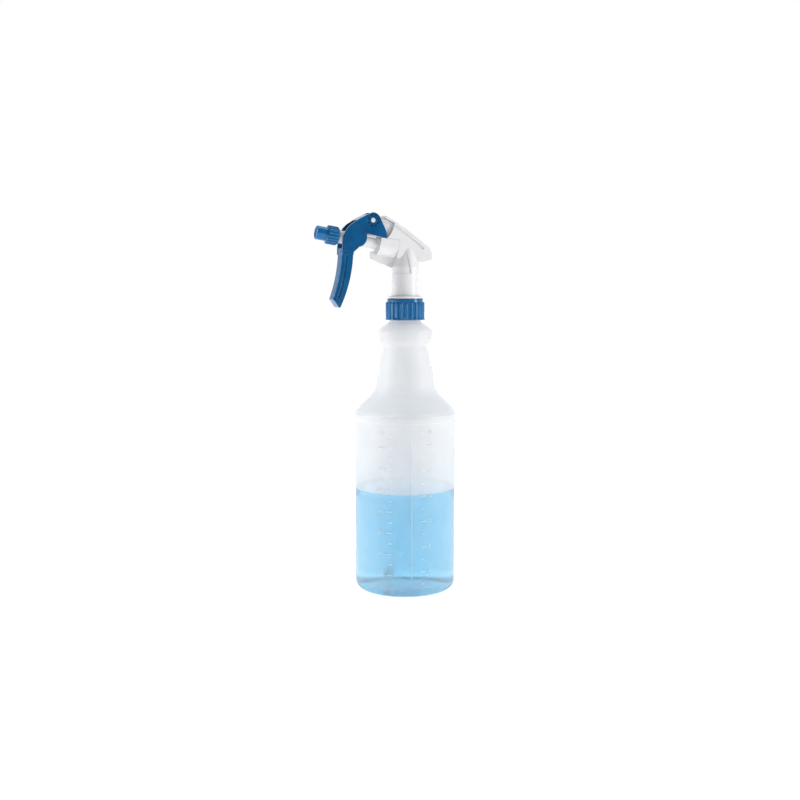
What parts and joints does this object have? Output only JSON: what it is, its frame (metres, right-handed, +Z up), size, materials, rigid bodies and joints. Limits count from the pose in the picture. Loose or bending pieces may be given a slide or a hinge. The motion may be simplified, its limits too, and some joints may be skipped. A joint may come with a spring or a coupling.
{
  "type": "spray bottle",
  "caption": "Translucent plastic spray bottle with graduations, half full of cleaner, and a screw-on trigger sprayer with a blue lever, closure and turning nozzle.",
  "frame": {"origin": "centre of the bottle's foot, on the surface it stands on, on the bottle's axis", "axes": "+Z up the bottle's axis, +X the way it sprays, +Y to the side"},
  "size_m": [0.122, 0.0866, 0.3204],
  "materials": {
    "bottle_hdpe": "satin",
    "cleaner": "gloss",
    "closure_blue": "gloss",
    "trigger_blue": "gloss",
    "nozzle_blue": "gloss",
    "pump_white": "satin",
    "shroud_white": "satin",
    "barrel_white": "satin",
    "pin_white": "satin",
    "holder_white": "satin",
    "core_white": "satin",
    "tube_clear": "satin",
    "strainer_white": "satin",
    "gasket_rubber": "matte",
    "seal_rubber": "matte",
    "spring_steel": "satin",
    "ball_steel": "polished"
  },
  "bodies": {
    "bottle": {"bottle": "bottle_hdpe", "liquid": "cleaner"},
    "head": {"pump_body": "pump_white", "shroud_cover": "shroud_white", "valve_stem": "holder_white", "neck_gasket": "gasket_rubber", "dip_tube": "tube_clear", "strainer": "strainer_white", "gland_ring": "holder_white", "pivot_pin": "pin_white", "return_spring": "spring_steel"},
    "closure": {"closure_ring": "closure_blue"},
    "trigger": {"trigger_lever": "trigger_blue"},
    "barrel": {"piston_barrel": "barrel_white", "piston_seal": "seal_rubber", "vent_seal": "seal_rubber", "swirl_core": "core_white", "outlet_spring": "spring_steel"},
    "nozzle_gland": {"nozzle_seal": "seal_rubber"},
    "nozzle": {"nozzle_cap": "nozzle_blue"},
    "inlet_valve": {"inlet_ball": "ball_steel"},
    "outlet_valve": {"outlet_ball": "ball_steel"}
  },
  "joints": [
    {"name": "head_lift", "type": "slide", "parent": "bottle", "child": "head", "axis": [0, 0, 1], "range_m": [0, 0.00529], "deforming": ["liquid"]},
    {"name": "closure_turn", "type": "hinge", "parent": "head", "child": "closure", "pos_m": [0, 0, 0.24], "axis": [0, 0, 1], "range_deg": [0, 450]},
    {"name": "trigger_pull", "type": "hinge", "parent": "head", "child": "trigger", "pos_m": [0.0308, 0, 0.314], "axis": [0, 1, 0], "range_deg": [0, 28], "stiffness_Nm_per_rad": 0.2, "springref_deg": -17.19},
    {"name": "piston_stroke", "type": "slide", "parent": "head", "child": "barrel", "axis": [-0.9848, 0, -0.1736], "range_m": [0, 0.00928], "deforming": ["return_spring"]},
    {"name": "nozzle_advance", "type": "slide", "parent": "barrel", "child": "nozzle_gland", "axis": [0.9848, 0, 0.1736], "range_m": [-0.0008, 0.0016]},
    {"name": "nozzle_turn", "type": "hinge", "parent": "nozzle_gland", "child": "nozzle", "pos_m": [0.06894, 0, 0.30235], "axis": [0.9848, 0, 0.1736], "range_deg": [-120, 240]},
    {"name": "inlet_ball_lift", "type": "slide", "parent": "head", "child": "inlet_valve", "axis": [0, 0, 1], "range_m": [0, 0.0014]},
    {"name": "outlet_ball_lift", "type": "slide", "parent": "barrel", "child": "outlet_valve", "axis": [0.9848, 0, 0.1736], "range_m": [0, 0.0012], "stiffness_N_per_m": 60, "springref_m": -0.002, "deforming": ["outlet_spring"]}
  ],
  "couplings": [
    {"joint": "closure_turn", "follows": "head_lift", "rad_per_m": 1485.4},
    {"joint": "piston_stroke", "follows": "trigger_pull", "m_per_rad": 0.018989},
    {"joint": "nozzle_turn", "follows": "nozzle_advance", "rad_per_m": 2618}
  ]
}
